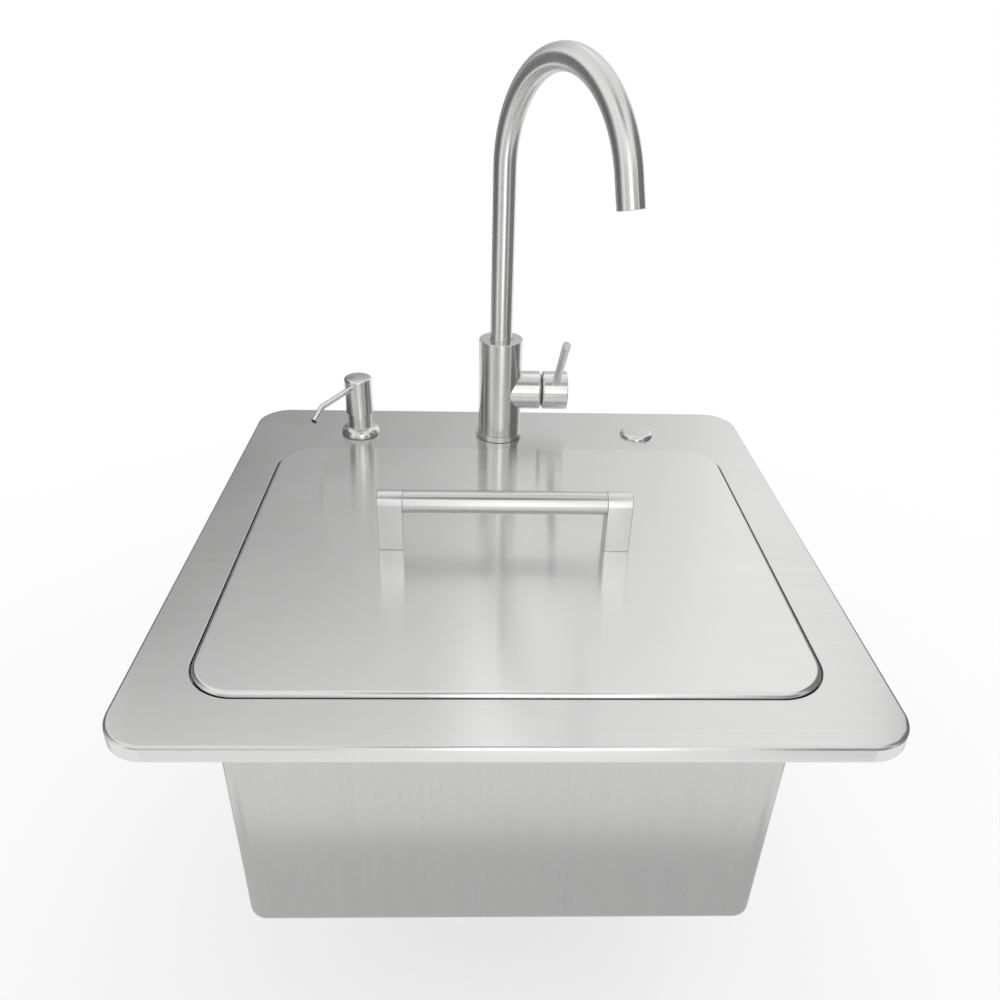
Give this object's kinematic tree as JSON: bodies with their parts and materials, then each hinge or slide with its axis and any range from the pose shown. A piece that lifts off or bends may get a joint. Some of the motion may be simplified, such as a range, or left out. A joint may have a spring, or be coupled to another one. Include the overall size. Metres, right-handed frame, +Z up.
{
  "type": "outdoor drop-in sink with tap",
  "caption": "Drop-in outdoor sink of brushed steel with a lift-off lid, a side-lever swivel tap, a soap pump and a basket strainer.",
  "frame": {"origin": "middle of the rim outline on the worktop plane, where the rim's lower edge rests", "axes": "+X to the right, -Y towards the user, +Z up"},
  "size_m": [0.533, 0.513, 0.8151],
  "materials": {
    "deck_steel": "brushed along X",
    "lid_steel": "smooth satin",
    "bowl_steel": "brushed up and down",
    "handle_steel": "brushed along the bar",
    "tap_steel": "finely brushed",
    "soap_steel": "finely brushed",
    "cover_steel": "spun satin",
    "strainer_steel": "polished",
    "fastener_steel": "plain",
    "turned_brass": "turned",
    "black_rubber": "matt",
    "fibre": "pressed fibre",
    "white_plastic": "moulded",
    "grey_plastic": "moulded",
    "bottle_plastic": "blown, translucent",
    "ceramic": "lapped ceramic"
  },
  "bodies": {
    "sink": {"deck_rim": "deck_steel", "bowl": "bowl_steel", "strainer_body": "strainer_steel", "strainer_outlet": "strainer_steel", "strainer_gasket": "black_rubber", "friction_ring": "fibre", "strainer_locknut": "turned_brass", "tail_washer": "white_plastic", "tailpiece": "strainer_steel", "slip_nut": "white_plastic", "tap_base_ring": "tap_steel", "tap_body": "tap_steel", "tap_shank": "turned_brass", "tap_gasket": "black_rubber", "tap_washer": "fastener_steel", "tap_nut": "turned_brass", "cartridge_body": "grey_plastic", "fixed_disc": "ceramic", "cartridge_nut": "turned_brass", "bonnet": "tap_steel", "spout_screw": "fastener_steel", "soap_collar": "soap_steel", "soap_washer": "black_rubber", "soap_nut": "white_plastic", "soap_bottle": "bottle_plastic", "hole_cover": "cover_steel", "cover_gasket": "black_rubber", "cover_washer": "fastener_steel", "wing_nut": "turned_brass"},
    "lid_unit": {"lid": "lid_steel", "handle_bar": "handle_steel", "handle_post_left": "handle_steel", "handle_post_right": "handle_steel", "handle_washers": "black_rubber", "handle_screws": "fastener_steel"},
    "basket_unit": {"basket": "strainer_steel", "basket_seal": "black_rubber", "basket_post": "strainer_steel"},
    "spout": {"spout_tube": "tap_steel", "spout_foot": "turned_brass", "spout_o_rings": "black_rubber", "slide_ring": "white_plastic", "aerator_body": "white_plastic", "aerator_screen": "grey_plastic"},
    "mixer_spindle": {"cartridge_spindle": "grey_plastic", "stem_pin": "fastener_steel"},
    "mixer_lever": {"lever_cap": "tap_steel", "lever_rod": "tap_steel", "lever_screw": "fastener_steel", "cartridge_stem": "turned_brass"},
    "mixing_disc": {"moving_disc": "ceramic"},
    "pump_unit": {"pump_barrel": "white_plastic", "dip_tube": "white_plastic", "check_ball": "fastener_steel", "pump_spring": "fastener_steel"},
    "pump_rod": {"pump_piston": "white_plastic"},
    "pump_cap": {"pump_head": "soap_steel", "pump_nozzle": "soap_steel"}
  },
  "joints": [
    {"name": "lid_lift", "type": "slide", "parent": "sink", "child": "lid_unit", "axis": [0, 0, 1], "range_m": [0, 0.025]},
    {"name": "basket_lift", "type": "slide", "parent": "sink", "child": "basket_unit", "axis": [0, 0, 1], "range_m": [-0.004, 0.12]},
    {"name": "spout_swivel", "type": "hinge", "parent": "sink", "child": "spout", "pos_m": [0, 0.199, 0.085], "axis": [0, 0, 1], "continuous": true},
    {"name": "lever_turn", "type": "hinge", "parent": "sink", "child": "mixer_spindle", "pos_m": [0.023, 0.199, 0.0642], "axis": [1, 0, 0], "range_deg": [-94, 6]},
    {"name": "lever_tilt", "type": "hinge", "parent": "mixer_spindle", "child": "mixer_lever", "pos_m": [0.023, 0.199, 0.0642], "axis": [0, 0.7193, 0.6947], "range_deg": [0, 20]},
    {"name": "disc_slide", "type": "slide", "parent": "mixer_spindle", "child": "mixing_disc", "axis": [0, -0.6947, 0.7193], "range_m": [0, 0.0024]},
    {"name": "pump_refill_lift", "type": "slide", "parent": "sink", "child": "pump_unit", "axis": [0, 0, 1], "range_m": [0, 0.18]},
    {"name": "pump_press", "type": "slide", "parent": "pump_unit", "child": "pump_rod", "axis": [0, 0, -1], "range_m": [0, 0.01], "stiffness_N_per_m": 400, "springref_m": -0.006, "deforming": ["pump_spring"]},
    {"name": "nozzle_swivel", "type": "hinge", "parent": "pump_rod", "child": "pump_cap", "pos_m": [-0.15, 0.199, 0.065], "axis": [0, 0, 1], "continuous": true}
  ],
  "couplings": [
    {"joint": "disc_slide", "follows": "lever_tilt", "m_per_rad": 0.00686}
  ]
}
